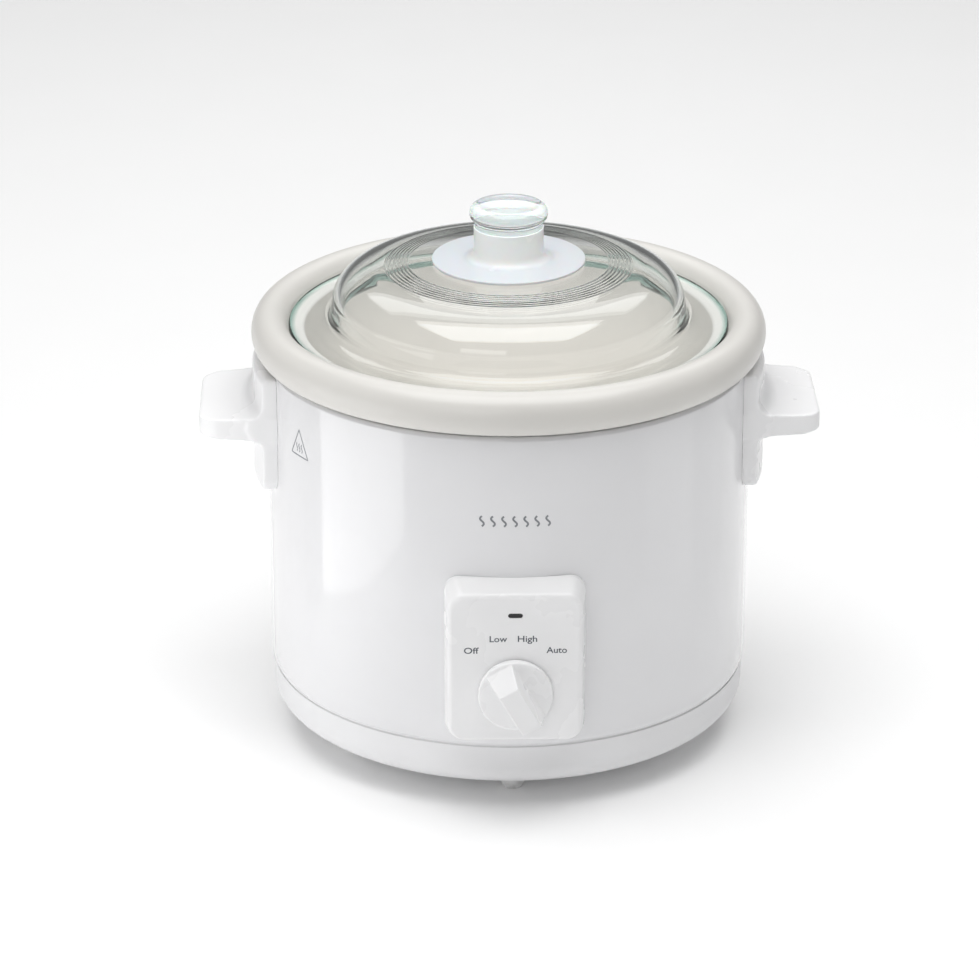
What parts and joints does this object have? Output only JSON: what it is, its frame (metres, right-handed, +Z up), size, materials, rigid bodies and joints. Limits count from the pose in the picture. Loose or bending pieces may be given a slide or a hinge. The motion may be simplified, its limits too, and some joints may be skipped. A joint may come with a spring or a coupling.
{
  "type": "slow cooker",
  "caption": "Round electric slow cooker: white steel housing on small feet, two side grips, lift-out stoneware pot, domed glass lid with a glass knob, and a front panel with a turning selector.",
  "frame": {"origin": "middle of the footprint, on the worktop that the feet stand on; the pot axis is 10.5 mm behind it (+Y), because the selector knob reaches further forward than the rim does back", "axes": "+Z up out of the pot, +X towards the right grip as seen by the cook, -Y towards the cook, out of the control panel"},
  "size_m": [0.3612, 0.321, 0.3213],
  "materials": {
    "white_enamel": "gloss white paint on steel",
    "white_plastic": "moulded white, semi-gloss",
    "cream_glaze": "opaque cream glaze on stoneware",
    "lid_glass": "clear pressed glass with a faint green edge",
    "milky_resin": "milky white, slightly translucent",
    "liner_aluminium": "drawn, satin",
    "heater_sleeve": "woven sleeve over the heating wire",
    "black_plastic": "moulded",
    "brown_bakelite": "pressed",
    "smoked_lens": "dark translucent",
    "lamp_glass": "small neon lamp",
    "red_sleeve": "wire insulation",
    "blue_sleeve": "wire insulation",
    "fibre_sleeve": "heat-proof wire sleeving",
    "zinc_steel": "zinc plated"
  },
  "bodies": {
    "housing": {"base_screw_1": "zinc_steel", "base_screw_2": "zinc_steel", "base_screw_3": "zinc_steel", "base_tray": "white_plastic", "bottom_plate": "zinc_steel", "control_panel": "white_plastic", "cord_gland": "white_plastic", "foot_1": "white_plastic", "foot_2": "white_plastic", "foot_3": "white_plastic", "foot_4": "white_plastic", "foot_5": "white_plastic", "foot_6": "white_plastic", "handle_left": "white_plastic", "handle_right": "white_plastic", "handle_screw_left_front": "zinc_steel", "handle_screw_left_rear": "zinc_steel", "handle_screw_right_front": "zinc_steel", "handle_screw_right_rear": "zinc_steel", "heat_shield": "zinc_steel", "heater_band": "heater_sleeve", "heater_clamp": "zinc_steel", "indicator_lamp": "lamp_glass", "indicator_lens": "smoked_lens", "inner_liner": "liner_aluminium", "lamp_holder": "black_plastic", "liner_post_1": "zinc_steel", "liner_post_2": "zinc_steel", "liner_post_3": "zinc_steel", "outer_shell": "white_enamel", "panel_screw_1": "zinc_steel", "panel_screw_2": "zinc_steel", "rotary_switch": "brown_bakelite", "switch_nut": "zinc_steel", "terminal_block": "black_plastic", "thermal_fuse": "zinc_steel", "thermostat": "brown_bakelite", "wire_high": "fibre_sleeve", "wire_lamp": "fibre_sleeve", "wire_live": "red_sleeve", "wire_low": "fibre_sleeve", "wire_neutral": "blue_sleeve"},
    "dial": {"selector_knob": "white_plastic", "switch_spindle": "zinc_steel"},
    "pot": {"ceramic_pot": "cream_glaze"},
    "lid": {"glass_lid": "lid_glass", "knob_seat": "milky_resin", "lid_knob": "lid_glass"}
  },
  "joints": [
    {"name": "pot_lift", "type": "slide", "parent": "housing", "child": "pot", "axis": [0, 0, 1], "range_m": [0, 0.2]},
    {"name": "lid_lift", "type": "slide", "parent": "pot", "child": "lid", "axis": [0, 0, 1], "range_m": [0, 0.12]},
    {"name": "dial_turn", "type": "hinge", "parent": "housing", "child": "dial", "pos_m": [0, -0.1435, 0.0818], "axis": [0, 1, 0], "range_deg": [0, 60]}
  ]
}
